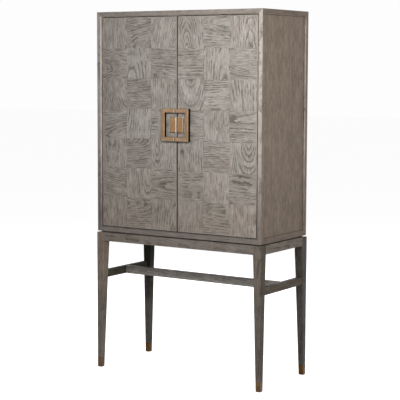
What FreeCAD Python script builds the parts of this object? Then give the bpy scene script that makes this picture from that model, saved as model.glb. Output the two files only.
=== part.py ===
import FreeCAD, Part
import math
import os

# Bar cabinet on a tapered stand, with two pivot-hung doors and a shelf that folds out inside.
# Millimetres. X runs left to right, Y from the front to the back, Z up.
# The origin is on the floor, at the bottom centre of the whole object's box.

# ---- overall ------------------------------------------------------------------------------
overall_height = 1800.0
case_width = 960.0
case_depth = 440.0
board = 25.0                 # thickness of the case's top, bottom and sides
arris = 1.0                  # broken corners of the wood

# ---- stand --------------------------------------------------------------------------------
stand_height = 696.0
shadow_gap = 6.5             # height of the set-back deck between the stand and the case
deck_setback = 18.0
stand_oversail = 3.0         # the stand stands out past the case on every side
apron_height = 43.0
apron_thickness = 25.0
leg_top = 45.0               # square section under the case
leg_foot = 25.0              # square section at the floor
ferrule_height = 50.0
ferrule_wall = 1.5
ferrule_floor = 2.0
stretcher_height = 40.0
stretcher_thickness = 22.0
stretcher_bottom = 458.0
stretcher_setback = 3.0      # behind the outer faces of the legs
brace_leg = 88.0             # corner brace, along each apron
brace_band = 34.0
brace_height = 22.0
bolt_radius = 3.0
bolt_grip = 10.0             # thread length in the case bottom
bolt_head_radius = 6.0       # to the corners of the hexagon
bolt_head_height = 4.0

# ---- case ---------------------------------------------------------------------------------
frame_chamfer = 6.0          # inner front edge of the case
side_recess = 8.0            # depth of the sunk side panel
side_border = 25.0           # front, top and bottom borders of the sunk panel
side_rear_border = 20.0
back_rebate = 10.0
back_thickness = 9.0
back_clearance = 0.5

# ---- doors --------------------------------------------------------------------------------
door_gap = 3.0
door_recess = 6.5            # door face behind the case's front edge
door_thickness = 22.0
lipping = 5.0
veneer = 3.0
tile_columns = 3
tile_rows = 7
tile_joint = 0.3
pivot_inset = 11.0           # pivot axis from the door's edge
pivot_setback = 6.5          # pivot axis behind the door's face
pivot_pin_radius = 3.5
pivot_pin_length = 8.0
pivot_plate_thickness = 2.5
pivot_plate_length = 48.0
pivot_plate_front = 4.5      # plate edge in front of the pivot axis
pivot_plate_rear = 6.5
washer_radius = 6.0
running_clearance = 0.05     # pins in their bores
face_clearance = 0.2         # faces that slide past each other
hole_clearance = 0.5         # hidden holes round pins
overcut = 1.0                # how far a cut runs past the face it opens

# ---- handle -------------------------------------------------------------------------------
ring_size = 158.0
ring_bar = 20.0
ring_depth = 16.0
ring_standoff = 6.5
ring_edge = 2.0
split_bevel = 3.0            # where the ring's halves meet
post_radius = 6.0
plate_size = 79.0
plate_thickness = 5.5
plate_edge = 4.0             # bevel all round each half
plate_gap = 4.0              # between the halves

# ---- door galleries -----------------------------------------------------------------------
gallery_depth = 90.0
gallery_inset = 28.0
gallery_board = 10.0
lower_gallery_height = 118.0
upper_gallery_height = 78.0
lower_gallery_rise = 31.0    # gallery floor above the case's inner bottom
upper_gallery_rise = 26.0    # gallery floor above the fixed shelf
cheek_round = 30.0
rail_size = 8.0              # square brass bar
rail_drop = 14.0             # rail axis below the cheek's top
rail_setback = 14.0          # rail axis behind the cheek's free edge
shelf_clearance = 6.5        # between the galleries and the fixed shelves

# ---- fold-out shelf -----------------------------------------------------------------------
lower_bay_height = 283.0     # from the inner bottom to the hinge axis, less half the leaf
niche_depth = 131.0          # from the hinge axis back to the mirror
leaf_thickness = 18.0
leaf_door_clearance = 7.5
leaf_side_clearance = 9.0
leaf_shelf_clearance = 3.0
counter_thickness = 22.0
counter_joint = 1.0
counter_rail_height = 58.0
counter_rail_thickness = 18.0
notch_width = 90.0
notch_depth = 16.0
inlay_thickness = 1.5
inlay_margin = 32.0
mirror_thickness = 4.0
mirror_margin = 12.0
leaf_pin_radius = 4.0
leaf_pin_grip = 8.0
leaf_pin_reach = 10.0
leaf_collar_radius = 8.0
leaf_collar = 2.0
bush_radius = 7.0
bush_depth = 12.0
bush_flange_radius = 9.0

# ---- quadrant stays -----------------------------------------------------------------------
quadrant_wall_gap = 19.0     # between the stay's middle line and the mirror
quadrant_band = 12.0
quadrant_thickness = 3.0
quadrant_head = 2.0          # how far the stop stands out from the band, each side
quadrant_head_angle = 2.2
quadrant_foot = 26.0
guide_angle = 102.0
guide_span = 10.0
guide_wall = 8.0
guide_lip = 3.0
guide_clearance = 0.4
stop_gap_angle = 0.3

# ---- fixed and loose shelves --------------------------------------------------------------
shelf_thickness = 20.0
loose_shelf_thickness = 18.0
loose_shelf_rise = 196.0     # above the fixed shelf
loose_shelf_clearance = 1.5
support_tab = 10.0
support_height = 6.0
support_width = 8.0
support_stud_radius = 2.5
support_stud_depth = 8.0
support_inset = 50.0

# ---- racks --------------------------------------------------------------------------------
stem_rail_count = 6
stem_rail_pitch = 110.0
stem_flange_width = 80.0
stem_flange_thickness = 6.0
stem_web_width = 12.0
stem_web_height = 24.0
stem_rail_gap = 20.0         # between the rails and the back
cell_count = 7
cell_height = 140.0
cell_board = 12.0
cell_scoop = 36.0            # hollow in the front edge of each divider

# ---- catches ------------------------------------------------------------------------------
catch_width = 32.0
catch_depth = 15.0
catch_height = 30.0
catch_offset = 8.0
catch_gap = 0.3
strike_width = 26.0
strike_height = 16.0
strike_thickness = 1.5
leaf_stop_spacing = 600.0
leaf_stop_width = 40.0
leaf_stop_depth = 14.0
leaf_stop_height = 20.0

# ---- worked out from the sizes above ------------------------------------------------------
handle_reach = ring_standoff + ring_depth - door_recess
case_front = (handle_reach - case_depth - stand_oversail) / 2
case_rear = case_front + case_depth
case_mid_y = (case_front + case_rear) / 2
case_bottom = stand_height + shadow_gap
case_top = overall_height
half_case = case_width / 2
half_inner = half_case - board
inner_bottom = case_bottom + board
inner_top = case_top - board
inner_mid_z = (inner_bottom + inner_top) / 2
back_face = case_rear - back_rebate

half_stand = half_case + stand_oversail
stand_front = case_front - stand_oversail
stand_rear = case_rear + stand_oversail
apron_bottom = stand_height - apron_height

door_front = case_front + door_recess
door_back = door_front + door_thickness
door_left = -half_inner + door_gap
door_right = -door_gap / 2
door_bottom = inner_bottom + door_gap
door_top = inner_top - door_gap
pivot_x = door_left + pivot_inset
pivot_y = door_front + pivot_setback

shelf_front = door_back + gallery_depth + shelf_clearance

mirror_face = back_face - mirror_thickness
hinge_y = mirror_face - niche_depth
hinge_z = inner_bottom + lower_bay_height + leaf_thickness / 2
leaf_length = hinge_y - door_back - leaf_door_clearance
leaf_top = hinge_z + leaf_length
half_leaf = half_inner - leaf_side_clearance
leaf_rear = hinge_y + leaf_thickness / 2
counter_top = hinge_z + leaf_thickness / 2
counter_bottom = counter_top - counter_thickness
counter_front = leaf_rear + counter_joint
fixed_shelf_bottom = leaf_top + leaf_shelf_clearance
fixed_shelf_top = fixed_shelf_bottom + shelf_thickness
loose_shelf_bottom = fixed_shelf_top + loose_shelf_rise
quadrant_radius = niche_depth - quadrant_wall_gap


os.makedirs("parts", exist_ok=True)


# ---- small tools --------------------------------------------------------------------------
def point(x, y, z):
    return FreeCAD.Vector(x, y, z)


def block(x0, x1, y0, y1, z0, z1):
    return Part.makeBox(x1 - x0, y1 - y0, z1 - z0, point(x0, y0, z0))


def rod(radius, start, end):
    along = end - start
    return Part.makeCylinder(radius, along.Length, start, along)


def prism(corners, travel):
    return flat_face(corners).extrude(travel)


def flat_face(corners):
    return Part.Face(Part.makePolygon(corners + [corners[0]]))


def taper(lower, upper):
    faces = [flat_face(lower), flat_face(upper)]
    for here in range(len(lower)):
        after = (here + 1) % len(lower)
        faces.append(flat_face([lower[here], lower[after], upper[after], upper[here]]))
    return Part.Solid(Part.Shell(faces))


def other_side(shape):
    return shape.mirror(point(0, 0, 0), point(1, 0, 0))


def other_end(shape):
    return shape.mirror(point(0, case_mid_y, 0), point(0, 1, 0))


def upside_down(shape):
    return shape.mirror(point(0, 0, inner_mid_z), point(0, 0, 1))


def both_sides(shape):
    return [shape, other_side(shape)]


left_to_right = point(1, 0, 0)
front_to_back = point(0, 1, 0)
to_front = point(0, -1, 0)
upwards = point(0, 0, 1)


def join(first, *others):
    return first.fuse(list(others)).removeSplitter()


def soften(bar, along, side=None):
    edges = [edge for edge in bar.Edges
             if edge.tangentAt(edge.FirstParameter).cross(along).Length < 0.5]
    if side:
        edges = [edge for edge in edges if (edge.CenterOfMass - bar.CenterOfMass).dot(side) > 0]
    return bar.makeChamfer(arris, edges).Solids[0]


def save(node, *solids):
    shape = solids[0] if len(solids) == 1 else Part.makeCompound(list(solids))
    shape.exportStep("parts/" + node + ".step")


# ---- legs and ferrules --------------------------------------------------------------------
# Each leg is square under the case and tapers on its two inner faces only.
def leg_section(z, width, inset=0.0, bevel=arris):
    x0, x1 = -half_stand + inset, -half_stand + width - inset
    y0, y1 = stand_front + inset, stand_front + width - inset
    return [point(x0 + bevel, y0, z), point(x1 - bevel, y0, z), point(x1, y0 + bevel, z),
            point(x1, y1 - bevel, z), point(x1 - bevel, y1, z), point(x0 + bevel, y1, z),
            point(x0, y1 - bevel, z), point(x0, y0 + bevel, z)]


def leg_width(z):
    return leg_foot + (leg_top - leg_foot) * z / apron_bottom


def make_spigot():
    low = leg_section(ferrule_floor, leg_width(ferrule_floor), ferrule_wall)
    high = leg_section(ferrule_height, leg_width(ferrule_height), ferrule_wall)
    return taper(low, high)


def make_leg():
    shaft = taper(leg_section(ferrule_height, leg_width(ferrule_height)),
                  leg_section(apron_bottom, leg_top))
    head = prism(leg_section(apron_bottom, leg_top), point(0, 0, apron_height))
    return join(shaft, head, make_spigot())


def make_ferrule():
    shell = taper(leg_section(0.0, leg_foot), leg_section(ferrule_height, leg_width(ferrule_height)))
    return shell.cut(make_spigot())


def save_corners(name, front_left):
    save(name + "_front_left", front_left)
    save(name + "_front_right", other_side(front_left))
    save(name + "_rear_left", other_end(front_left))
    save(name + "_rear_right", other_end(other_side(front_left)))


# ---- aprons, stretchers, braces and deck --------------------------------------------------
def make_front_apron():
    reach = half_stand - leg_top
    bar = block(-reach, reach, stand_front, stand_front + apron_thickness,
                apron_bottom, stand_height)
    return soften(bar, left_to_right)


def make_side_apron():
    bar = block(-half_stand, -half_stand + apron_thickness,
                stand_front + leg_top, stand_rear - leg_top, apron_bottom, stand_height)
    return soften(bar, front_to_back)


def make_side_stretcher(front_leg, rear_leg):
    outer = -half_stand + stretcher_setback
    bar = block(outer, outer + stretcher_thickness, stand_front + leg_foot / 2,
                stand_rear - leg_foot / 2, stretcher_bottom, stretcher_bottom + stretcher_height)
    return soften(bar, front_to_back).cut([front_leg, rear_leg])


def make_long_stretcher():
    reach = half_stand - stretcher_setback - stretcher_thickness
    half = stretcher_thickness / 2
    bar = block(-reach, reach, case_mid_y - half, case_mid_y + half,
                stretcher_bottom, stretcher_bottom + stretcher_height)
    return soften(bar, left_to_right)


def make_corner_brace():
    x0 = -half_stand + apron_thickness
    y0 = stand_front + apron_thickness
    inner = brace_leg - brace_band
    z = stand_height - brace_height
    corners = [point(x0 + inner, y0, z), point(x0 + brace_leg, y0, z),
               point(x0, y0 + brace_leg, z), point(x0, y0 + inner, z)]
    return prism(corners, point(0, 0, brace_height))


def brace_middle():
    shift = (brace_leg - brace_band / 2) / 2
    return (-half_stand + apron_thickness + shift, stand_front + apron_thickness + shift)


def make_bolt(clearance=0.0):
    x, y = brace_middle()
    under = stand_height - brace_height
    return rod(bolt_radius + clearance, point(x, y, under - bolt_head_height),
               point(x, y, case_bottom + bolt_grip + clearance))


def make_bolt_head():
    x, y = brace_middle()
    low = stand_height - brace_height - bolt_head_height
    turns = [math.radians(60 * corner) for corner in range(6)]
    corners = [point(x + bolt_head_radius * math.cos(turn), y + bolt_head_radius * math.sin(turn), low)
               for turn in turns]
    return prism(corners, point(0, 0, bolt_head_height))


def make_deck():
    return block(-half_stand + deck_setback, half_stand - deck_setback,
                 stand_front + deck_setback, stand_rear - deck_setback, stand_height, case_bottom)


def at_corners(front_left):
    return both_sides(front_left) + both_sides(other_end(front_left))


leg = make_leg()
save_corners("leg", leg)
save_corners("ferrule", make_ferrule())
save("apron_front", make_front_apron())
save("apron_rear", other_end(make_front_apron()))
save("apron_left", make_side_apron())
save("apron_right", other_side(make_side_apron()))
side_stretcher = make_side_stretcher(leg, other_end(leg))
save("stretcher_left", side_stretcher)
save("stretcher_right", other_side(side_stretcher))
save("stretcher_long", make_long_stretcher())
bolt_holes = at_corners(make_bolt(face_clearance))
save("corner_braces", *[brace.cut(bolt_holes) for brace in at_corners(make_corner_brace())])
save("stand_bolts", *at_corners(join(make_bolt(), make_bolt_head())))
save("deck", make_deck().cut(bolt_holes))


# ---- case ---------------------------------------------------------------------------------
# Four mitred boards with a chamfer round the front opening and a rebate for the back.
def opening_chamfer():
    def ring(y, spread):
        x, low, high = half_inner + spread, inner_bottom - spread, inner_top + spread
        return [point(-x, y, low), point(x, y, low), point(x, y, high), point(-x, y, high)]
    return taper(ring(case_front - overcut, frame_chamfer + overcut),
                 ring(case_front + frame_chamfer, 0.0))


def outer_hull():
    hull = block(-half_case, half_case, case_front, case_rear, case_bottom, case_top)
    return hull.makeChamfer(arris, hull.Edges)


def back_pocket():
    spread = back_rebate
    return block(-half_inner - spread, half_inner + spread, back_face, case_rear + overcut,
                 inner_bottom - spread, inner_top + spread)


def finish_board(board_shape, cuts):
    trimmed = board_shape.cut([opening_chamfer(), back_pocket()] + cuts)
    return trimmed.common(outer_hull())


def make_level_board(outer_z, inner_z):
    corners = [point(-half_case, case_front, outer_z), point(half_case, case_front, outer_z),
               point(half_inner, case_front, inner_z), point(-half_inner, case_front, inner_z)]
    return prism(corners, point(0, case_depth, 0))


def make_side_board():
    corners = [point(-half_case, case_front, case_bottom), point(-half_inner, case_front, inner_bottom),
               point(-half_inner, case_front, inner_top), point(-half_case, case_front, case_top)]
    return prism(corners, point(0, case_depth, 0))


def side_panel_recess():
    return block(-half_case - overcut, -half_case + side_recess,
                 case_front + side_border, case_rear - side_rear_border,
                 case_bottom + side_border, case_top - side_border)


# Pivot hinges: a plate with a pin let into each end of a door, and a bored plate let into
# the case above and below it.
def pivot_plate_box(z0, z1, near_edge):
    return block(pivot_x - near_edge, pivot_x - near_edge + pivot_plate_length,
                 pivot_y - pivot_plate_front, pivot_y + pivot_plate_rear, z0, z1)


def door_plate():
    return pivot_plate_box(door_top - pivot_plate_thickness, door_top, pivot_inset - lipping / 2)


def make_top_pivot():
    washer = rod(washer_radius, point(pivot_x, pivot_y, door_top),
                 point(pivot_x, pivot_y, inner_top - face_clearance))
    pin = rod(pivot_pin_radius, point(pivot_x, pivot_y, door_top - pivot_plate_thickness),
              point(pivot_x, pivot_y, inner_top + pivot_pin_length))
    return join(door_plate(), washer, pin)


def make_top_socket():
    plate = pivot_plate_box(inner_top, inner_top + pivot_plate_thickness, pivot_inset - lipping / 2)
    bore = rod(pivot_pin_radius + running_clearance, point(pivot_x, pivot_y, inner_top),
               point(pivot_x, pivot_y, inner_top + pivot_pin_length))
    return plate.cut(bore)


def socket_pockets():
    plate = pivot_plate_box(inner_top, inner_top + pivot_plate_thickness, pivot_inset - lipping / 2)
    hole = rod(pivot_pin_radius + hole_clearance, point(pivot_x, pivot_y, inner_top),
               point(pivot_x, pivot_y, inner_top + pivot_pin_length + hole_clearance))
    return both_sides(plate.fuse(hole))


def bush_hole(radius, depth):
    return rod(radius, point(-half_inner, hinge_y, hinge_z),
               point(-half_inner - depth, hinge_y, hinge_z))


def stud_places():
    front = shelf_front + support_inset
    rear = back_face - support_inset
    z = loose_shelf_bottom - support_height / 2
    return [(front, z), (rear, z)]


def stud_holes():
    return [rod(support_stud_radius, point(-half_inner, y, z),
                point(-half_inner - support_stud_depth, y, z)) for y, z in stud_places()]


save("case_top", finish_board(make_level_board(case_top, inner_top), socket_pockets()))
floor_cuts = [upside_down(pocket) for pocket in socket_pockets()] + bolt_holes
save("case_bottom", finish_board(make_level_board(case_bottom, inner_bottom), floor_cuts))
side_cuts = [side_panel_recess(), bush_hole(bush_radius, bush_depth)] + stud_holes()
case_side = finish_board(make_side_board(), side_cuts)
save("case_side_left", case_side)
save("case_side_right", other_side(case_side))
spread = back_rebate - back_clearance
save("case_back", block(-half_inner - spread, half_inner + spread, back_face,
                        back_face + back_thickness, inner_bottom - spread, inner_top + spread))
top_sockets = both_sides(make_top_socket())
save("pivot_sockets", *(top_sockets + [upside_down(socket) for socket in top_sockets]))


# ---- doors --------------------------------------------------------------------------------
# A core with a solid lipping round its edges and sawn veneer tiles on its face.
field_left = door_left + lipping
field_right = door_right - lipping
field_bottom = door_bottom + lipping
field_top = door_top - lipping
handle_z = (door_bottom + door_top) / 2


def make_strike():
    middle = door_right - catch_offset - catch_width / 2
    z1 = field_top - strike_thickness
    return block(middle - strike_width / 2, middle + strike_width / 2,
                 door_back - strike_thickness, door_back, z1 - strike_height, z1)


def make_core():
    core = block(field_left, field_right, door_front + veneer, door_back, field_bottom, field_top)
    return core.cut(make_strike())


def make_lipping():
    outer = block(door_left, door_right, door_front, door_back, door_bottom, door_top)
    outer = soften(soften(outer, left_to_right), upwards, to_front)
    inner = block(field_left, field_right, door_front, door_back, field_bottom, field_top)
    return outer.cut([inner, door_plate(), upside_down(door_plate())])


def make_tiles():
    wide = (field_right - field_left) / tile_columns
    high = (field_top - field_bottom) / tile_rows
    tiles = []
    for row in range(tile_rows):
        for column in range(tile_columns):
            x = field_left + column * wide
            z = field_bottom + row * high
            tiles.append(block(x + tile_joint / 2, x + wide - tile_joint / 2,
                               door_front, door_front + veneer,
                               z + tile_joint / 2, z + high - tile_joint / 2))
    return tiles


# Half of a square ring, split where the doors meet, on two posts.
def make_half_ring():
    half = ring_size / 2
    y0 = door_front - ring_standoff - ring_depth
    y1 = door_front - ring_standoff
    outer = block(-half, half, y0, y1, handle_z - half, handle_z + half)
    inside = half - ring_bar
    ring = outer.cut(block(-inside, inside, y0, y1, handle_z - inside, handle_z + inside))
    front_edges = [edge for edge in ring.Edges if edge.BoundBox.YMax < y0 + ring_edge]
    ring = ring.makeChamfer(ring_edge, front_edges)
    ring = ring.common(block(-half, door_right, y0, y1, handle_z - half, handle_z + half))
    bevel = split_bevel + overcut
    ring = ring.cut(prism([point(door_right - bevel, y0 - overcut, handle_z - half),
                           point(door_right + overcut, y0 - overcut, handle_z - half),
                           point(door_right + overcut, y0 + bevel, handle_z - half)],
                          point(0, 0, ring_size)))
    middle = half - ring_bar / 2
    posts = [rod(post_radius, point(-middle, y1, handle_z + side * middle),
                 point(-middle, door_front, handle_z + side * middle)) for side in (-1, 1)]
    return join(ring, *posts)


def make_half_plate():
    half = plate_size / 2
    plate = block(-half, -plate_gap / 2, door_front - plate_thickness, door_front,
                  handle_z - half, handle_z + half)
    front = [edge for edge in plate.Edges if edge.BoundBox.YMax < door_front - plate_thickness / 2]
    return plate.makeChamfer(plate_edge, front)


# A gallery is a tray on the inside of a door: floor, two cheeks and a brass rail.
gallery_left = door_left + gallery_inset
gallery_right = door_right - gallery_inset
gallery_front = door_back + gallery_depth


def make_cheek(x, floor_z, height):
    top = floor_z + height
    bend = cheek_round * (1 - math.sqrt(0.5))
    corner = Part.Arc(point(x, gallery_front - cheek_round, top),
                      point(x, gallery_front - bend, top - bend),
                      point(x, gallery_front, top - cheek_round))
    lines = [point(x, gallery_front, top - cheek_round), point(x, gallery_front, floor_z),
             point(x, door_back, floor_z), point(x, door_back, top),
             point(x, gallery_front - cheek_round, top)]
    edges = [corner.toShape()] + [Part.makeLine(a, b) for a, b in zip(lines, lines[1:])]
    return Part.Face(Part.Wire(Part.__sortEdges__(edges))).extrude(point(gallery_board, 0, 0))


def gallery_rail(floor_z, height, clearance=0.0):
    y = gallery_front - rail_setback
    z = floor_z + height - rail_drop
    half = rail_size / 2 + clearance
    return block(gallery_left + gallery_board / 2, gallery_right - gallery_board / 2,
                 y - half, y + half, z - half, z + half)


def make_gallery(floor_z, height):
    floor = block(gallery_left, gallery_right, door_back, gallery_front,
                  floor_z, floor_z + gallery_board)
    cheeks = [make_cheek(x, floor_z, height) for x in (gallery_left, gallery_right - gallery_board)]
    return join(floor, *cheeks).cut(gallery_rail(floor_z, height, running_clearance))


galleries = [(inner_bottom + lower_gallery_rise, lower_gallery_height),
             (fixed_shelf_top + upper_gallery_rise, upper_gallery_height)]
left_door = {
    "core": [make_core()],
    "lipping": [make_lipping()],
    "parquet": make_tiles(),
    "pivots": [make_top_pivot(), upside_down(make_top_pivot())],
    "ring": [make_half_ring()],
    "plate": [make_half_plate()],
    "galleries": [make_gallery(floor_z, height) for floor_z, height in galleries],
    "rails": [gallery_rail(floor_z, height) for floor_z, height in galleries],
    "strike": [make_strike()],
}
for piece, solids in left_door.items():
    save("door_left_" + piece, *solids)
    save("door_right_" + piece, *[other_side(solid) for solid in solids])


# ---- shelves, mirror and racks ------------------------------------------------------------
def make_catch():
    x1 = -catch_offset
    y0 = door_back + catch_gap
    return block(x1 - catch_width, x1, y0, y0 + catch_depth, inner_top - catch_height, inner_top)


def make_loose_shelf():
    reach = half_inner - loose_shelf_clearance
    shelf = block(-reach, reach, shelf_front, back_face - loose_shelf_clearance,
                  loose_shelf_bottom, loose_shelf_bottom + loose_shelf_thickness)
    return soften(shelf, left_to_right, to_front)


def make_fixed_shelf():
    shelf = block(-half_inner, half_inner, shelf_front, back_face, fixed_shelf_bottom, fixed_shelf_top)
    return soften(shelf, left_to_right, to_front)


def make_support(y, z):
    tab = block(-half_inner, -half_inner + support_tab, y - support_width / 2,
                y + support_width / 2, loose_shelf_bottom - support_height, loose_shelf_bottom)
    stud = rod(support_stud_radius, point(-half_inner, y, z),
               point(-half_inner - support_stud_depth, y, z))
    return join(tab, stud)


def make_stem_rail(x):
    web_bottom = inner_top - stem_web_height
    y0, y1 = shelf_front, back_face - stem_rail_gap
    web = block(x - stem_web_width / 2, x + stem_web_width / 2, y0, y1, web_bottom, inner_top)
    flange = block(x - stem_flange_width / 2, x + stem_flange_width / 2, y0, y1,
                   web_bottom - stem_flange_thickness, web_bottom)
    return [web, flange]


def make_divider(x):
    low, high = inner_bottom, inner_bottom + cell_height
    middle = (low + high) / 2
    front_edge = Part.Arc(point(x, shelf_front, low), point(x, shelf_front + cell_scoop, middle),
                          point(x, shelf_front, high))
    lines = [point(x, shelf_front, high), point(x, back_face, high), point(x, back_face, low),
             point(x, shelf_front, low)]
    edges = [front_edge.toShape()] + [Part.makeLine(a, b) for a, b in zip(lines, lines[1:])]
    return Part.Face(Part.Wire(edges)).extrude(point(cell_board, 0, 0))


def make_dividers():
    pitch = (2 * half_inner + cell_board) / cell_count
    return [make_divider(-half_inner + place * pitch - cell_board) for place in range(1, cell_count)]


def make_cell_shelf():
    base = inner_bottom + cell_height
    shelf = block(-half_inner, half_inner, shelf_front, back_face, base, base + cell_board)
    return soften(shelf, left_to_right, to_front)


def make_counter():
    top = block(-half_inner, half_inner, counter_front, back_face, counter_bottom, counter_top)
    rail = block(-half_inner, half_inner, counter_front, counter_front + counter_rail_thickness,
                 counter_bottom - counter_rail_height, counter_bottom)
    half_slot = quadrant_band / 2 + quadrant_head + counter_joint
    slot = block(-half_leaf - quadrant_thickness - counter_joint, -half_leaf + counter_joint,
                 hinge_y + quadrant_radius - half_slot, hinge_y + quadrant_radius + half_slot,
                 counter_bottom, counter_top)
    return join(top, rail).cut(both_sides(slot))


def make_mirror():
    return block(-half_leaf + mirror_margin, half_leaf - mirror_margin, mirror_face, back_face,
                 counter_top + face_clearance, fixed_shelf_bottom - face_clearance)


save("door_catches", *both_sides(make_catch()))
save("fixed_shelf", make_fixed_shelf())
save("loose_shelf", make_loose_shelf())
supports = [make_support(y, z) for y, z in stud_places()]
save("shelf_supports", *(supports + [other_side(support) for support in supports]))
stem_rails = []
for place in range(stem_rail_count):
    stem_rails += make_stem_rail((place - (stem_rail_count - 1) / 2) * stem_rail_pitch)
save("stem_rails", *stem_rails)
save("bottle_dividers", *make_dividers())
save("bottle_shelf", make_cell_shelf())
save("counter", make_counter())
save("mirror", make_mirror())


# ---- fold-out shelf -----------------------------------------------------------------------
# The leaf stands upright in front of the niche and folds forward and down about its lower
# edge, which is rounded about the hinge axis.
def leaf_strikes():
    spots = (-leaf_stop_spacing / 2, leaf_stop_spacing / 2)
    z1 = leaf_top - strike_thickness
    return [block(x - strike_width / 2, x + strike_width / 2, leaf_rear - strike_thickness,
                  leaf_rear, z1 - strike_height, z1) for x in spots]


def make_inlay():
    low = hinge_z + leaf_thickness / 2 + inlay_margin / 2
    high = leaf_top - strike_height - inlay_margin / 2
    return block(-half_leaf + inlay_margin, half_leaf - inlay_margin,
                 leaf_rear - inlay_thickness, leaf_rear, low, high)


def make_leaf_pin():
    collar = rod(leaf_collar_radius, point(-half_leaf, hinge_y, hinge_z),
                 point(-half_leaf - leaf_collar, hinge_y, hinge_z))
    pin = rod(leaf_pin_radius, point(-half_leaf + leaf_pin_grip, hinge_y, hinge_z),
              point(-half_inner - leaf_pin_reach, hinge_y, hinge_z))
    return join(collar, pin)


def make_leaf():
    slab = block(-half_leaf, half_leaf, hinge_y - leaf_thickness / 2, leaf_rear, hinge_z, leaf_top)
    slab = soften(slab, left_to_right, upwards)
    nosing = rod(leaf_thickness / 2, point(-half_leaf, hinge_y, hinge_z),
                 point(half_leaf, hinge_y, hinge_z))
    notch_radius = (notch_width ** 2 / 4 + notch_depth ** 2) / (2 * notch_depth)
    notch_z = leaf_top + notch_radius - notch_depth
    notch = rod(notch_radius, point(0, hinge_y - leaf_thickness, notch_z),
                point(0, hinge_y + leaf_thickness, notch_z))
    return join(slab, nosing).cut([notch, make_inlay()] + leaf_strikes() + both_sides(make_leaf_pin()))


def make_bush():
    flange = rod(bush_flange_radius, point(-half_leaf - leaf_collar - face_clearance, hinge_y, hinge_z),
                 point(-half_inner, hinge_y, hinge_z))
    bore = rod(leaf_pin_radius + running_clearance, point(-half_leaf, hinge_y, hinge_z),
               point(-half_case, hinge_y, hinge_z))
    return join(flange, bush_hole(bush_radius, bush_depth)).cut(bore)


# Quadrant stays: arcs about the hinge axis, fixed to the ends of the leaf, that run through
# a guide on each case side and through a slot in the counter.
def around_hinge(x, radius, angle):
    turn = math.radians(angle)
    return point(x, hinge_y - radius * math.cos(turn), hinge_z + radius * math.sin(turn))


def sector(x0, x1, inner, outer, start, end):
    middle = (start + end) / 2
    far = Part.Arc(*[around_hinge(x0, outer, angle) for angle in (start, middle, end)])
    near = Part.Arc(*[around_hinge(x0, inner, angle) for angle in (end, middle, start)])
    ends = [Part.makeLine(around_hinge(x0, outer, end), around_hinge(x0, inner, end)),
            Part.makeLine(around_hinge(x0, inner, start), around_hinge(x0, outer, start))]
    outline = Part.Wire([far.toShape(), ends[0], near.toShape(), ends[1]])
    return Part.Face(outline).extrude(point(x1 - x0, 0, 0))


upright = 90.0
guide_end = guide_angle + guide_span / 2
stop_angle = upright + guide_end + stop_gap_angle
band_inner = quadrant_radius - quadrant_band / 2
band_outer = quadrant_radius + quadrant_band / 2


def make_quadrant():
    x0, x1 = -half_leaf - quadrant_thickness, -half_leaf
    band = sector(x0, x1, band_inner, band_outer, upright, stop_angle)
    head = sector(x0, x1, band_inner - quadrant_head, band_outer + quadrant_head,
                  stop_angle, stop_angle + quadrant_head_angle)
    foot_half = leaf_thickness / 2 - quadrant_head
    foot = block(x0, x1, hinge_y - foot_half, hinge_y + foot_half,
                 hinge_z + quadrant_radius - quadrant_foot / 2,
                 hinge_z + quadrant_radius + quadrant_foot / 2)
    return join(band, head, foot)


def make_guide():
    body = sector(-half_inner, -half_leaf + guide_lip, band_inner - guide_wall,
                  band_outer + guide_wall, guide_end - guide_span, guide_end)
    slot = sector(-half_leaf - quadrant_thickness - guide_clearance, -half_leaf + guide_clearance,
                  band_inner - guide_clearance, band_outer + guide_clearance,
                  guide_end - guide_span - stop_gap_angle, guide_end + stop_gap_angle)
    return body.cut(slot)


def make_leaf_stop(x):
    return block(x - leaf_stop_width / 2, x + leaf_stop_width / 2, leaf_rear + catch_gap,
                 leaf_rear + catch_gap + leaf_stop_depth,
                 fixed_shelf_bottom - leaf_stop_height, fixed_shelf_bottom)


save("leaf", make_leaf())
save("leaf_inlay", make_inlay())
save("leaf_pins", *both_sides(make_leaf_pin()))
save("leaf_strikes", *leaf_strikes())
save("quadrants", *both_sides(make_quadrant()))
save("leaf_bushes", *both_sides(make_bush()))
save("quadrant_guides", *both_sides(make_guide()))
save("leaf_stops", *both_sides(make_leaf_stop(-leaf_stop_spacing / 2)))
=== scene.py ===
import math

import bmesh
import bpy
from mathutils import Matrix, Vector


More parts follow.
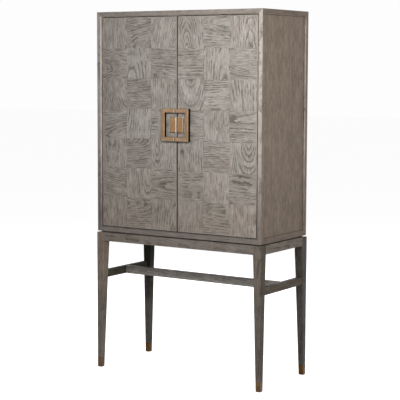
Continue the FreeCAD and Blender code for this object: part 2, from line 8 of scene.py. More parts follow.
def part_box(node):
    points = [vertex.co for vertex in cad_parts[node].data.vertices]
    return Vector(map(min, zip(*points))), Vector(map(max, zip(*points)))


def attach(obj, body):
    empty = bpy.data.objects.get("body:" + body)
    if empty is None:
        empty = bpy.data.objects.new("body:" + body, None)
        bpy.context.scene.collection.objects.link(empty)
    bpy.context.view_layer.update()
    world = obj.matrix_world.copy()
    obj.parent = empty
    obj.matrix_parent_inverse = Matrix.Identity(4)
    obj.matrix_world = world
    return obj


# A bar cabinet in limed grey oak on a tapered stand, in metres: X to the right, Y to the back,
# Z up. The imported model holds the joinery. This script gives every piece its finish, and adds
# the small fixings.
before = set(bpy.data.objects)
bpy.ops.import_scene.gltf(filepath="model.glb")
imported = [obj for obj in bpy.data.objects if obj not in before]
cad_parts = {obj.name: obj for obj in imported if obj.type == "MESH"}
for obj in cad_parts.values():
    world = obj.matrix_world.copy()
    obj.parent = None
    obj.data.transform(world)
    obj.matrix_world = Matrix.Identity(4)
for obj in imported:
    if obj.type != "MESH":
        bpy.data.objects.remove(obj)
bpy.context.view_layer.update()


# ---- legs ---------------------------------------------------------------------------------
# Four solid oak legs, square under the case and tapered on their two inner faces, stained grey
# brown and matt lacquered. Every wooden piece below is finished with the same oak.
class Wire:
    """What comes out of a node. A sum of wires and numbers adds its Math nodes."""

    def __init__(self, finish, socket):
        self.finish = finish
        self.socket = socket

    def maths(self, operation, *values):
        return self.finish.node("Math", {"operation": operation}, dict(enumerate(values)))

    def __add__(self, other):
        return self.maths("ADD", self, other)

    def __radd__(self, other):
        return self.maths("ADD", other, self)

    def __sub__(self, other):
        return self.maths("SUBTRACT", self, other)

    def __rsub__(self, other):
        return self.maths("SUBTRACT", other, self)

    def __mul__(self, other):
        return self.maths("MULTIPLY", self, other)

    def __rmul__(self, other):
        return self.maths("MULTIPLY", other, self)

    def __truediv__(self, other):
        return self.maths("DIVIDE", self, other)

    def __rtruediv__(self, other):
        return self.maths("DIVIDE", other, self)

    def __pow__(self, other):
        return self.maths("POWER", self, other)

    def __rpow__(self, other):
        return self.maths("POWER", other, self)

    def __abs__(self):
        return self.maths("ABSOLUTE", self)

    def __floor__(self):
        return self.maths("FLOOR", self)

    def fraction(self):
        return self.maths("FRACT", self)

    def least(self, other):
        return self.maths("MINIMUM", self, other)

    def most(self, other):
        return self.maths("MAXIMUM", self, other)

    def above(self, edge):
        """1 above the edge and 0 below it."""
        return self.maths("GREATER_THAN", self, edge)

    def between(self, low, high):
        """1 from low to high and 0 outside."""
        return self.above(low) * (1.0 - self.above(high))

    def rise(self, low, high):
        """From 0 at low to 1 at high, turning smoothly."""
        return self.finish.node("MapRange", {"interpolation_type": "SMOOTHSTEP"},
                                {"Value": self, "From Min": low, "From Max": high})


class Finish:
    """A material round one shader. A colour is written without its opacity."""

    def __init__(self, name, **constants):
        self.material = bpy.data.materials.new(name)
        self.material.use_nodes = True
        self.tree = self.material.node_tree
        self.shader = self.tree.nodes["Principled BSDF"]
        self.give(**constants)

    def give(self, **values):
        """Sets the shader's own sockets, or joins them to what changes over the surface. Their
        names are written with underscores."""
        for name, value in values.items():
            self.feed(self.shader.inputs[name.replace("_", " ")], value)
        return self

    def given(self, name):
        """What already feeds a socket of the shader."""
        return Wire(self, self.shader.inputs[name].links[0].from_socket)

    def feed(self, socket, value):
        if isinstance(value, Wire):
            self.tree.links.new(value.socket, socket)
        elif socket.type == "RGBA":
            socket.default_value = (*value, 1.0)
        else:
            socket.default_value = value

    def node(self, kind, settings=None, sockets=None, out=0):
        made = self.tree.nodes.new("ShaderNode" + kind)
        for name, value in (settings or {}).items():
            if name == "stops":
                while len(made.color_ramp.elements) < len(value):
                    made.color_ramp.elements.new(1.0)
                for stop, (position, colour) in zip(made.color_ramp.elements, value):
                    stop.position = position
                    stop.color = (*colour, 1.0)
            else:
                setattr(made, name, value)
        for name, value in (sockets or {}).items():
            self.feed(made.inputs[name], value)
        return Wire(self, made.outputs[out])

    def split(self, kind, sockets):
        """The three parts of a place or a colour."""
        parts = self.node(kind, sockets=sockets)
        return [Wire(self, output) for output in parts.socket.node.outputs]

    def place(self):
        """The three object coordinates, in metres."""
        return self.split("SeparateXYZ", {"Vector": self.node("TexCoord", out="Object")})

    def noise(self, x, y, z, detail=2.0, roughness=0.5):
        at = self.node("CombineXYZ", sockets={0: x, 1: y, 2: z})
        return self.node("TexNoise", sockets={"Vector": at, "Scale": 1.0, "Detail": detail,
                                              "Roughness": roughness})

    def cloud(self, spot, scale, detail, roughness=0.5):
        """Noise that is as coarse in every direction."""
        x, y, z = spot
        return self.noise(x * scale, y * scale, z * scale, detail, roughness)

    def blend(self, factor, under, over, mode="MIX"):
        return self.node("Mix", {"data_type": "RGBA", "blend_type": mode},
                         {0: factor, 6: under, 7: over}, out=2)

    def stain(self, colour, tint):
        return self.blend(1.0, colour, tint, mode="MULTIPLY")

    def bump(self, height, strength, distance):
        return self.node("Bump", sockets={"Strength": strength, "Distance": distance,
                                          "Height": height})

    def wear(self, *pieces):
        """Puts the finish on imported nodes, given by name, or on new pieces."""
        for piece in pieces:
            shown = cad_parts[piece] if isinstance(piece, str) else piece
            if not shown.data.materials:
                shown.data.materials.append(self.material)
            for slot in shown.material_slots:
                slot.material = self.material


OAK = [(0.00, (0.070, 0.058, 0.049)), (0.32, (0.185, 0.162, 0.144)),
       (0.60, (0.325, 0.297, 0.272)), (1.00, (0.600, 0.570, 0.540))]
OAK_GLOSS = 0.5
STAND_GLOSS = 0.2
DULL_GLOSS = 0.04


def oak_figure(finish, along, side, down, heart=0.0, depth=0.05, tilt=0.05, ring=0.008,
               strength=1.0):
    """Paleness of a sawn face, and its relief. The rings are cylinders about a pith that lies
    heart to one side and depth below the face, and tilts against it."""

    def grain(length, width, detail, roughness=0.5):
        """Noise drawn out along the grain, by how often it changes in a metre."""
        return finish.noise(along * length, side * width, down * width, detail, roughness)

    drift = grain(3.0, 9.0, 1.0) - 0.5
    wobble = grain(34.0, 62.0, 2.0, 0.6) - 0.5
    fibre = grain(9.0, 320.0, 3.0, 0.65) - 0.5
    offset = side - heart + drift * 0.035
    level = along * tilt + depth
    rings = (((offset * offset + level * level + 1e-6) ** 0.5 + wobble * 0.007) / ring
             + fibre * 0.45)
    band = finish.noise(rings * 0.8, along * 6.0, down * 9.0 + 7.3, 2.0, 0.55) - 0.5
    early_wood = (1.0 - rings.fraction()) ** 3.0
    kept = finish.noise(rings * 0.4, along * 17.0, down * 9.0 + 3.1).rise(0.42, 0.58)
    line = early_wood * kept
    dash = grain(32.0, 225.0, 2.0, 0.6) - 0.5
    patch = grain(8.0, 17.0, 2.0) - 0.5
    pores = grain(75.0, 900.0, 1.0).rise(0.50, 0.66) * (line + 0.25)
    tone = (0.67 + (band * 0.34 - line * 0.50 + fibre * 0.36 + dash * 0.80 + patch * 0.26
                    - pores * 0.42) * strength)
    relief = fibre * 0.4 - pores - line * 0.4
    return tone, relief


def oak_surface(finish, tone, relief, tint):
    """Colour, gloss and relief of limed oak under a matt lacquer."""
    colour = finish.node("ValToRGB", {"stops": OAK}, {"Fac": tone})
    return finish.give(Base_Color=finish.stain(colour, tint), Roughness=0.66 - tone * 0.18,
                       Normal=finish.bump(relief, strength=0.55, distance=0.0004))


def oak_board(name, grain, tint, heart=0.0, depth=0.06, tilt=0.03, gloss=OAK_GLOSS):
    """Oak for boards. The letters of grain are the axes along the grain, across it on the face,
    and through the board."""
    finish = Finish(name, Specular_IOR_Level=gloss)
    places = dict(zip("xyz", finish.place()))
    along, side, down = (places[axis] for axis in grain)
    tone, relief = oak_figure(finish, along, side, down, heart, depth, tilt, strength=0.7)
    return oak_surface(finish, tone, relief, tint)


# Stain with painted light and shade: each leg has its own level at the foot and the head, the
# outer faces their own, and the head of the rear left leg is painted dark as shade under the
# case.
LEG_FOOT_STAIN_AND_SHADE = {"front_left": (0.64, 0.59, 0.52), "front_right": (0.45, 0.42, 0.38),
                 "rear_left": (0.37, 0.365, 0.36), "rear_right": (0.225, 0.225, 0.205)}
LEG_HEAD_STAIN_AND_SHADE = {"front_left": (0.77, 0.66, 0.57), "front_right": (0.53, 0.48, 0.425),
                 "rear_left": (0.07, 0.078, 0.062), "rear_right": (0.27, 0.245, 0.215)}
LEG_OUTER_STAIN_AND_SHADE = {"front_right": (0.23, 0.20, 0.155), "rear_right": (0.215, 0.20, 0.18),
                  "rear_left": (0.43, 0.40, 0.37)}
LEG_GLOSS = {"front_left": STAND_GLOSS, "front_right": STAND_GLOSS,
             "rear_left": DULL_GLOSS, "rear_right": STAND_GLOSS}
LEG_SHADE_FADE = (0.25, 0.62)
OUTER_SKIN = 0.0005


def leg(corner):
    """Stain with painted light and shade: each leg has its own level, which changes from the
    foot to the head, and its outer sides differ.
    """
    low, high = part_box("leg_" + corner)
    finish = Finish("leg_oak_" + corner, Specular_IOR_Level=LEG_GLOSS[corner])
    x, y, z = finish.place()
    tone, relief = oak_figure(finish, z, x, y, heart=0.51, depth=0.12, tilt=0.03, strength=0.7)
    tint = finish.blend(z.rise(*LEG_SHADE_FADE), LEG_FOOT_STAIN_AND_SHADE[corner], LEG_HEAD_STAIN_AND_SHADE[corner])
    if corner in LEG_OUTER_STAIN_AND_SHADE:
        if "right" in corner:
            outer = (x - high.x).above(-OUTER_SKIN)
        else:
            outer = 1.0 - (x - low.x).above(OUTER_SKIN)
        if "rear" in corner:
            outer = outer.most((y - high.y).above(-OUTER_SKIN))
        tint = finish.blend(outer, tint, LEG_OUTER_STAIN_AND_SHADE[corner])
    oak_surface(finish, tone, relief, tint).wear("leg_" + corner)


for corner in LEG_FOOT_STAIN_AND_SHADE:
    leg(corner)


# ---- ferrules -----------------------------------------------------------------------------
# Square brass shoes, 50 mm high, pushed over the ends of the legs. The brass is aged to a brown
# bronze and rubbed lighter here and there. The rear pair is darker and browner: painted shade.
# The rear colours are darker as painted shade.
FERRULE_BRASS = {"front": (0.070, 0.041, 0.022), "rear": (0.045, 0.020, 0.006)}
FERRULE_WORN = {"front": (0.115, 0.072, 0.042), "rear": (0.074, 0.035, 0.011)}


def bloom_of(finish, spot):
    """Where handled brass has turned paler."""
    return finish.cloud(spot, 38.0, detail=4.0).rise(0.38, 0.68)


def aged_brass(name, colour, worn, roughness=0.36):
    """Brass brushed along its height, clouded between two colours, with small dull specks."""
    finish = Finish(name, Metallic=1.0)
    x, y, z = spot = finish.place()
    brushing = finish.noise(z * 20.0, x * 2600.0, y * 2600.0) - 0.5
    bloom = bloom_of(finish, spot)
    speck = finish.cloud(spot, 520.0, detail=2.0).rise(0.62, 0.74)
    tone = bloom * 0.75 + brushing * 0.5 - speck * 0.35
    return finish.give(Base_Color=finish.blend(tone, colour, worn),
                       Roughness=roughness + speck * 0.15 + brushing * 0.12,
                       Normal=finish.bump(brushing - speck, strength=0.25, distance=0.0002))


for row in FERRULE_BRASS:
    aged_brass("ferrule_brass_" + row, FERRULE_BRASS[row], FERRULE_WORN[row]).wear(
        "ferrule_" + row + "_left", "ferrule_" + row + "_right")


# ---- aprons, stretchers and braces --------------------------------------------------------
# The frame that joins the legs: aprons under the case, a stretcher on each side and a long one
# between them, and corner braces for the bolts that hold the case. Same oak as the legs.
LONG_APRON_TINT = (0.69, 0.645, 0.60)
DEEP_APRON_TINT = (0.66, 0.60, 0.52)
# Painted light and shade: each stretcher has its own level, its upper face is darkened, and the
# inner face of the left one is darker than its outer face.
STRETCHER_STAIN_AND_SHADE = {"left": (0.24, 0.245, 0.19), "right": (0.46, 0.42, 0.36),
                  "long": (1.20, 1.21, 1.19)}
STRETCHER_TOP_SHADE = {"left": (0.05, 0.048, 0.04), "right": (0.08, 0.073, 0.064),
                      "long": (0.30, 0.28, 0.25)}
LEFT_OUTER_UNSHADED = (0.46, 0.42, 0.36)

oak_board("apron_oak_long", "xzy", LONG_APRON_TINT, heart=0.64, depth=0.10,
          gloss=STAND_GLOSS).wear("apron_front", "apron_rear")
oak_board("apron_oak_deep", "yzx", DEEP_APRON_TINT, heart=0.64, depth=0.10,
          gloss=STAND_GLOSS).wear("apron_left", "apron_right", "corner_braces")


def stretcher(name):
    """Each stretcher has its own painted level of light and shade. Painted shade darkens the
    upper face, and the inner face of the left one against its paler outer face.
    """
    low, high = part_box("stretcher_" + name)
    finish = Finish("oak_stretcher_" + name, Specular_IOR_Level=DULL_GLOSS)
    x, y, z = finish.place()
    along, side, down = (x, z, y) if name == "long" else (y, z, x)
    tone, relief = oak_figure(finish, along, side, down, heart=0.20, depth=0.30, strength=0.7)
    tint = STRETCHER_STAIN_AND_SHADE[name]
    if name == "left":
        tint = finish.blend((x - low.x).above(OUTER_SKIN), LEFT_OUTER_UNSHADED, tint)
    tint = finish.blend((z - high.z).above(-OUTER_SKIN), tint, STRETCHER_TOP_SHADE[name])
    oak_surface(finish, tone, relief, tint).wear("stretcher_" + name)


for name in STRETCHER_STAIN_AND_SHADE:
    stretcher(name)


# ---- deck ---------------------------------------------------------------------------------
# A set-back board between stand and case, stained nearly black so that it reads as a shadow
# line, and the four zinc-plated bolts that pass through it.
DECK_TINT = (0.30, 0.27, 0.25)
ZINC = (0.24, 0.24, 0.235)
oak_board("deck_oak", "xyz", DECK_TINT, depth=0.15).wear("deck")


def plain_steel(name, colour, roughness):
    """Steel with the fine mottle that plating and bluing leave."""
    finish = Finish(name, Metallic=1.0)
    mottle = finish.cloud(finish.place(), 260.0, detail=3.0)
    dull = [0.8 * part for part in colour]
    return finish.give(Base_Color=finish.blend(mottle.rise(0.3, 0.7), dull, colour),
                       Roughness=mottle * 0.2 + roughness)


zinc = plain_steel("zinc_plate", ZINC, 0.34)
zinc.wear("stand_bolts")


# ---- case ---------------------------------------------------------------------------------
# Four boards mitred at the corners, veneered in oak, with a chamfer round the opening. The
# sides have a sunk panel with an upright grain inside a narrow border mitred at its ends. A strip
# just behind the chamfer, in the gap beside the door, is painted dark as shade.
HANDS = ("left", "right")
# Painted light and shade on the level boards: the bottom board darker, and the arrises paler on
# the top board and darker on the bottom one.
RAIL_STAIN_AND_SHADE = {"case_top": (0.75, 0.71, 0.68), "case_bottom": (0.59, 0.55, 0.515)}
RAIL_ARRIS_LIGHT_AND_SHADE = {"case_top": (0.84, 0.78, 0.73), "case_bottom": (0.40, 0.375, 0.355)}
RAIL_ARRIS = (0.0003, 0.0012)
SIDE_TINT = (0.705, 0.575, 0.465)
# Painted shade: the sides darker towards the foot.
SIDE_LOW_SHADE = (0.58, 0.455, 0.345)
SIDE_SHADE_FADE = (0.72, 1.20)
SIDE_BORDER = 0.025
SIDE_RECESS = 0.008
BORDER_END_TINT = (0.72, 0.70, 0.68)
# Painted shade in the corner of the sunk panel; the same dark colour also darkens the outer
# arris.
CORNER_SHADE_AND_DARK_ARRIS = (0.40, 0.33, 0.27)
DARK_STRIP_WIDTH = 0.0028
# Painted highlight on the upper front edge and its chamfer, and painted shade towards the foot.
EDGE_TOP_HIGHLIGHT = {"left": (1.02, 1.00, 0.99), "right": (1.31, 1.26, 1.23)}
EDGE_LOW_SHADE = {"left": (0.33, 0.29, 0.285), "right": (0.595, 0.525, 0.49)}
EDGE_SHADE_FADE = {"left": (0.72, 1.38), "right": (0.72, 1.22)}
CHAMFER = 0.006
CHAMFER_HIGHLIGHT = (1.42, 1.36, 1.30)
CHAMFER_SHADE_FADE = (0.72, 1.18)
GAP_DEPTH = 0.0125
# Painted shade in the gap beside the door, just behind the chamfer, darkest at the foot.
GAP_SHADE = (0.42, 0.36, 0.32)
GAP_LOW_SHADE = (0.14, 0.080, 0.050)
GAP_SHADE_FADE = (0.9, 1.6)
FACE_SKIN = 0.0006
EDGE_SKIN = 0.0004


def rail(node):
    """A level board. Painted shade darkens the bottom board, and its arrises and hidden faces;
    on the top board the arrises and hidden faces carry a painted highlight.
    """
    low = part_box(node)[0]
    finish = Finish("oak_" + node, Specular_IOR_Level=OAK_GLOSS)
    x, y, z = finish.place()
    front = 1.0 - (y - low.y).rise(*RAIL_ARRIS)
    flat = 1.0 - front
    tone, relief = oak_figure(finish, x, z * front + y * flat, y * front + z * flat, heart=0.06,
                              depth=0.09, strength=0.6)
    tint = finish.blend(front, RAIL_ARRIS_LIGHT_AND_SHADE[node], RAIL_STAIN_AND_SHADE[node])
    oak_surface(finish, tone, relief, tint).wear(node)


for node in RAIL_STAIN_AND_SHADE:
    rail(node)


def sunk_side(hand):
    """The outer faces are browner than the front edge, with painted shade towards the foot. The
    ends of their border are level and darker. Painted shade darkens the corner of the panel,
    and the outer arris is darker. The front edge and its chamfer carry a painted highlight
    above and painted shade below, and painted shade darkens the gap beside the door."""
    low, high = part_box("case_side_" + hand)
    finish = Finish("case_oak_" + hand, Specular_IOR_Level=OAK_GLOSS)
    x, y, z = finish.place()
    to_end = (z - low.z).least(high.z - z)
    to_edge = (y - low.y).least(high.y - y)
    level = (to_edge - to_end).above(0.0) * (SIDE_BORDER - to_end).above(0.0)
    upright = 1.0 - level
    tone, relief = oak_figure(finish, z * upright + y * level, y * upright + z * level, x,
                              heart=0.40, depth=0.30, tilt=0.01, strength=0.75)

    brown = finish.blend(z.rise(*SIDE_SHADE_FADE), SIDE_LOW_SHADE, SIDE_TINT)
    brown = finish.blend(level, brown, finish.stain(brown, BORDER_END_TINT))
    rim = to_end.least(high.y - y)
    # Painted shade in the panel's corner, and a darker outer arris.
    corner_shade = rim.between(SIDE_BORDER, SIDE_BORDER + DARK_STRIP_WIDTH)
    dark_arris = 1.0 - rim.above(DARK_STRIP_WIDTH)
    brown = finish.blend(corner_shade.most(dark_arris), brown, CORNER_SHADE_AND_DARK_ARRIS)

    depth = y - low.y
    edge, painted_light = (finish.blend(z.rise(*fade), EDGE_LOW_SHADE[hand], EDGE_TOP_HIGHLIGHT[hand])
                  for fade in (EDGE_SHADE_FADE[hand], CHAMFER_SHADE_FADE))
    chamfer = depth.between(EDGE_SKIN, CHAMFER + EDGE_SKIN)
    edge = finish.blend(chamfer, edge, finish.stain(painted_light, CHAMFER_HIGHLIGHT))
    gap = depth.between(CHAMFER + EDGE_SKIN, GAP_DEPTH)
    edge = finish.blend(gap, edge, finish.blend(z.rise(*GAP_SHADE_FADE), GAP_LOW_SHADE, GAP_SHADE))

    sunk = max(high.x, -low.x) - abs(x)
    border = 1.0 - sunk.above(FACE_SKIN)
    panel = sunk.between(SIDE_RECESS - FACE_SKIN, SIDE_RECESS + FACE_SKIN)
    outer = border.most(panel) * depth.above(EDGE_SKIN)
    oak_surface(finish, tone, relief, finish.blend(outer, edge, brown)).wear("case_side_" + hand)


for hand in HANDS:
    sunk_side(hand)


# ---- back panel ---------------------------------------------------------------------------
# A veneered panel let into a rebate at the back of the case, and held by slotted brass screws
# all round its edge.
BACK_TINT = (0.74, 0.66, 0.58)
FITTING_BRASS = (0.52, 0.36, 0.17)
FITTING_WORN = (0.66, 0.48, 0.25)
SCREW_SIDES = 20
RIM_SHARE = 0.6
SLOT_SHARE = 0.13
SLOT_DEPTH_SHARE = 0.6
BACK_SCREW_SIZE = (0.0034, 0.0008)
BACK_SCREW_INSET = 0.0052
BACK_SCREWS_HIGH = 8
BACK_SCREWS_ACROSS = 6

oak_board("back_oak", "zxy", BACK_TINT, heart=0.10, depth=0.20).wear("case_back")
bright_brass = aged_brass("fitting_brass", FITTING_BRASS, FITTING_WORN, roughness=0.26)


def only_verts(parts):
    return [part for part in parts if isinstance(part, bmesh.types.BMVert)]


def once_each(parts):
    return list(dict.fromkeys(parts))


def add_screw(shaped, place, facing, radius, height):
    """A slotted head with a rounded rim, on a face that looks along facing."""
    circle = bmesh.ops.create_circle(shaped, cap_ends=True, segments=SCREW_SIDES,
                                     radius=radius)["verts"]
    raised = bmesh.ops.extrude_face_region(shaped, geom=[circle[0].link_faces[0]])["geom"]
    bmesh.ops.translate(shaped, verts=only_verts(raised), vec=(0.0, 0.0, height))
    top = [part for part in raised if isinstance(part, bmesh.types.BMFace)][0]
    rim = bmesh.ops.bevel(shaped, geom=top.edges[:], offset=height * RIM_SHARE,
                          offset_type="OFFSET", affect="EDGES", segments=3, profile=0.5,
                          material=-1)["faces"]
    head = once_each([vert for face in rim for vert in face.verts] + circle)
    for side in (-1.0, 1.0):
        faces = once_each(face for vert in head for face in vert.link_faces)
        edges = once_each(edge for face in faces for edge in face.edges)
        cut = bmesh.ops.bisect_plane(shaped, geom=faces + edges + head, dist=1e-7,
                                     plane_no=(0.0, 1.0, 0.0),
                                     plane_co=(0.0, side * radius * SLOT_SHARE, 0.0))
        head += only_verts(cut["geom_cut"])
        head = once_each(vert for vert in head if vert.is_valid)
    slot = [face for face in once_each(face for vert in head for face in vert.link_faces)
            if face.normal.z > 0.99
            and abs(face.calc_center_median().y) < radius * SLOT_SHARE]
    sunk = only_verts(bmesh.ops.extrude_face_region(shaped, geom=slot)["geom"])
    bmesh.ops.translate(shaped, verts=sunk, vec=(0.0, 0.0, -height * SLOT_DEPTH_SHARE))
    turn = Vector((0.0, 0.0, 1.0)).rotation_difference(Vector(facing)).to_matrix().to_4x4()
    bmesh.ops.transform(shaped, verts=once_each(head + sunk),
                        matrix=Matrix.Translation(place) @ turn)


def set_down(shaped, name, body, finish):
    """Makes a piece of what was shaped in its place, and fixes it to a body."""
    bmesh.ops.recalc_face_normals(shaped, faces=shaped.faces[:])
    mesh = bpy.data.meshes.new(name)
    shaped.to_mesh(mesh)
    shaped.free()
    piece = bpy.data.objects.new(name, mesh)
    bpy.context.scene.collection.objects.link(piece)
    finish.wear(piece)
    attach(piece, body)


def spread_evenly(start, end, count):
    return [start + (end - start) * place / (count - 1) for place in range(count)]


back_low, back_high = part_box("case_back")
left, right = back_low.x + BACK_SCREW_INSET, back_high.x - BACK_SCREW_INSET
bottom, top = back_low.z + BACK_SCREW_INSET, back_high.z - BACK_SCREW_INSET
spots = [(x, z) for x in (left, right) for z in spread_evenly(bottom, top, BACK_SCREWS_HIGH)]
spots += [(x, z) for z in (bottom, top)
          for x in spread_evenly(left, right, BACK_SCREWS_ACROSS)[1:-1]]
shaped = bmesh.new()
for x, z in spots:
    add_screw(shaped, (x, back_high.y, z), (0.0, 1.0, 0.0), *BACK_SCREW_SIZE)
set_down(shaped, "back_screws", "cabinet", bright_brass)


# ---- doors --------------------------------------------------------------------------------
# Each door is a veneered core edged with a pale oak lipping. Glued to its face are square
# tiles of sawn oak, three across and seven high, whose grain runs upright and level by turns.
TILES_ACROSS = 3
TILES_HIGH = 7
TILE_DRAWS = (0.37, 5.81)
TILE_WARM = (1.03, 0.995, 0.97)
TILE_COOL = (0.99, 1.0, 0.965)
TILE_SHADES = 0.07
# Painted shade: the level tiles are darker for their weaker sheen, and the face darker at the
# foot and at the far left.
LEVEL_SHEEN_SHADE = 0.05
TILE_LOW_SHADE = (0.94, 0.89, 0.85)
TILE_LOW_SHADE_FADE = (0.74, 1.20)
TILE_LEFT_SHADE = (0.88, 0.87, 0.87)
TILE_LEFT_SHADE_FADE = (-0.46, -0.33)
UNSHADED = (1.0, 1.0, 1.0)
LIPPING_TINT = (1.00, 0.955, 0.91)
# Painted shade in the door gaps: on the sides of the lipping, lapping onto its front at the foot
# of the hinge side and up the meeting edge of the right door.
LIPPING_SHADE_FADE = (0.74, 1.50)
DOOR_GAP_SHADE = (0.042, 0.029, 0.020)
SHADE_FADE_WIDTH = 0.0004
SHADE_FRONT = 0.0005
SHADE_BACK = 0.001
HINGE_SHADE_LOW = 0.0018
MEETING_SHADE = 0.0032
MEETING_SHADE_LOW = 0.0046
INSIDE_TINT = (0.86, 0.76, 0.64)


def tiled_face(hand):
    """Every tile draws where the pith lay in its log, how it leaned, how wide its rings are, and
    its own shade. Painted shade makes the face a little darker at the foot and at the far left,
    and the level tiles a little darker than the upright ones, whose sheen is stronger."""
    low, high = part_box("door_" + hand + "_parquet")
    wide = (high.x - low.x) / TILES_ACROSS
    tall = (high.z - low.z) / TILES_HIGH
    finish = Finish("door_tiles_" + hand, Specular_IOR_Level=OAK_GLOSS)
    x, y, z = finish.place()
    column = (x - low.x) / wide
    row = (z - low.z) / tall
    column_number = math.floor(column)
    row_number = math.floor(row)
    local_x = (column - column_number - 0.5) * wide
    local_z = (row - row_number - 0.5) * tall
    level = ((column_number + row_number) * 0.5).fraction() * 2.0
    upright = 1.0 - level
    tile = finish.node("CombineXYZ", sockets={0: column_number, 1: row_number, 2: low.x * 10.0})

    def draw(shift):
        moved = finish.node("VectorMath", {"operation": "ADD"}, {0: tile, 1: (shift,) * 3})
        colour = finish.node("TexWhiteNoise", sockets={"Vector": moved}, out="Color")
        return finish.split("SeparateColor", {"Color": colour})

    (heart, depth, tilt), (shift, shade, warmth) = (draw(start) for start in TILE_DRAWS)
    along = local_z * upright + local_x * level
    side = local_x * upright + local_z * level
    tone, relief = oak_figure(
        finish, along + (shift - 0.5) * 0.05, side, y + shift * 3.0,
        heart=(heart - 0.5) * 0.22, depth=depth * 0.05 + 0.006, tilt=(tilt - 0.5) * 0.8,
        ring=warmth * 0.008 + 0.006)
    tone = tone + (shade - 0.5) * TILE_SHADES - level * LEVEL_SHEEN_SHADE
    cast = finish.noise(along * 14.0, side * 30.0, y + shift * 9.0) + (warmth - 0.5) * 0.3
    tint = finish.blend(cast.rise(0.3, 0.7), TILE_WARM, TILE_COOL)
    tint = finish.stain(tint, finish.blend(z.rise(*TILE_LOW_SHADE_FADE), TILE_LOW_SHADE, UNSHADED))
    tint = finish.stain(tint, finish.blend(x.rise(*TILE_LEFT_SHADE_FADE), TILE_LEFT_SHADE, UNSHADED))
    oak_surface(finish, tone, relief, tint).wear("door_" + hand + "_parquet")


def shaded_lipping(hand):
    """Pale oak whose sides carry painted shade in the gaps, between the front and back arrises.
    The painted shade laps onto the front, a little at the foot of the hinge side, and on the
    right door all the way up where the doors meet."""
    low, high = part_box("door_" + hand + "_lipping")
    finish = Finish("lipping_oak_" + hand, Specular_IOR_Level=OAK_GLOSS)
    x, y, z = finish.place()
    tone, relief = oak_figure(finish, z, x, y, heart=0.3, depth=0.2, strength=0.5)
    gap_shaded = (y - low.y).rise(SHADE_FRONT, SHADE_FRONT + SHADE_FADE_WIDTH)
    height = z.rise(*LIPPING_SHADE_FADE)
    from_hinge = high.x - x if hand == "right" else x - low.x
    lap = from_hinge - (1.0 - height) * HINGE_SHADE_LOW
    gap_shaded = gap_shaded.most(1.0 - lap.rise(0.0, SHADE_FADE_WIDTH))
    if hand == "right":
        reach = height * (MEETING_SHADE - MEETING_SHADE_LOW) + MEETING_SHADE_LOW
        gap_shaded = gap_shaded.most(1.0 - (x - low.x - reach).rise(0.0, SHADE_FADE_WIDTH))
    gap_shaded = gap_shaded * (high.y - y).rise(SHADE_BACK, SHADE_BACK + SHADE_FADE_WIDTH)
    tint = finish.blend(gap_shaded, LIPPING_TINT, DOOR_GAP_SHADE)
    oak_surface(finish, tone, relief, tint).wear("door_" + hand + "_lipping")


for hand in HANDS:
    tiled_face(hand)
for hand in HANDS:
    shaded_lipping(hand)
oak_board("inside_oak_upright", "zxy", INSIDE_TINT, heart=-0.18, depth=0.08).wear(
    "door_left_core", "door_right_core")


# ---- pivots -------------------------------------------------------------------------------
# Each door turns on two pins, on bronze plates let into its ends at the outer corner. The pins
# stand in bored plates of the same bronze, let into the case above and below.
PIVOT_BRONZE = (0.045, 0.032, 0.020)
PIVOT_WORN = (0.075, 0.052, 0.032)
aged_brass("pivot_bronze", PIVOT_BRONZE, PIVOT_WORN, roughness=0.45).wear(
    "door_left_pivots", "door_right_pivots", "pivot_sockets")


# ---- ring handle --------------------------------------------------------------------------
# A square brass ring, split where the doors meet, that stands on posts bolted through them. Its
# face is satin brass and its sides are blackened. A narrow black frame behind its rim fills its
# gap to the door as painted shade.
RING_BRASS = (0.27, 0.172, 0.104)
RING_WORN = (0.36, 0.235, 0.145)
LEVEL_BAR_TINT = (1.03, 1.07, 1.08)
UPRIGHT_BAR_TINT = (0.90, 0.89, 0.83)
# Black for the ring's sides, and as painted shade for the frame behind its rim.
BLACKENED_AND_SHADE = (0.003, 0.0025, 0.002)
SHADE_FRAME_MOTTLE = (0.012, 0.009, 0.007)
HANDLE_GLOSS = 0.12
RING_EDGE = (0.002, 0.0023)
RING_SPLIT = 0.0048
RING_DEPTH = 0.016
BACKING_INSET = 0.0008
BACKING_WIDTH = 0.009
BACKING_ARRIS = 0.0004


def ring_finish(hand):
    """Brass in front and where the halves meet, and dull black on the sides. The level bars are
    a little paler than the upright ones, with which they are mitred."""
    low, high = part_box("door_" + hand + "_ring")
    finish = aged_brass("ring_brass_" + hand, RING_BRASS, RING_WORN, roughness=0.38)
    x, y, z = finish.place()
    black = (y - low.y).rise(*RING_EDGE) * abs(x).above(RING_SPLIT)
    upright = (abs(x) - abs(z - (low.z + high.z) / 2)).above(0.0)
    bar = finish.blend(upright, LEVEL_BAR_TINT, UPRIGHT_BAR_TINT)
    brass = finish.stain(finish.given("Base Color"), bar)
    finish.give(Specular_IOR_Level=HANDLE_GLOSS, Metallic=1.0 - black,
                Base_Color=finish.blend(black, brass, BLACKENED_AND_SHADE)).wear("door_" + hand + "_ring")


# The black frame behind the ring is painted shade in its gap to the door.
def shade_frame_black():
    finish = Finish("shade_frame_black", Specular_IOR_Level=HANDLE_GLOSS)
    rubbed = finish.cloud(finish.place(), 300.0, detail=3.0).rise(0.55, 0.8)
    return finish.give(Base_Color=finish.blend(rubbed, BLACKENED_AND_SHADE, SHADE_FRAME_MOTTLE),
                       Roughness=0.6 - rubbed * 0.2)


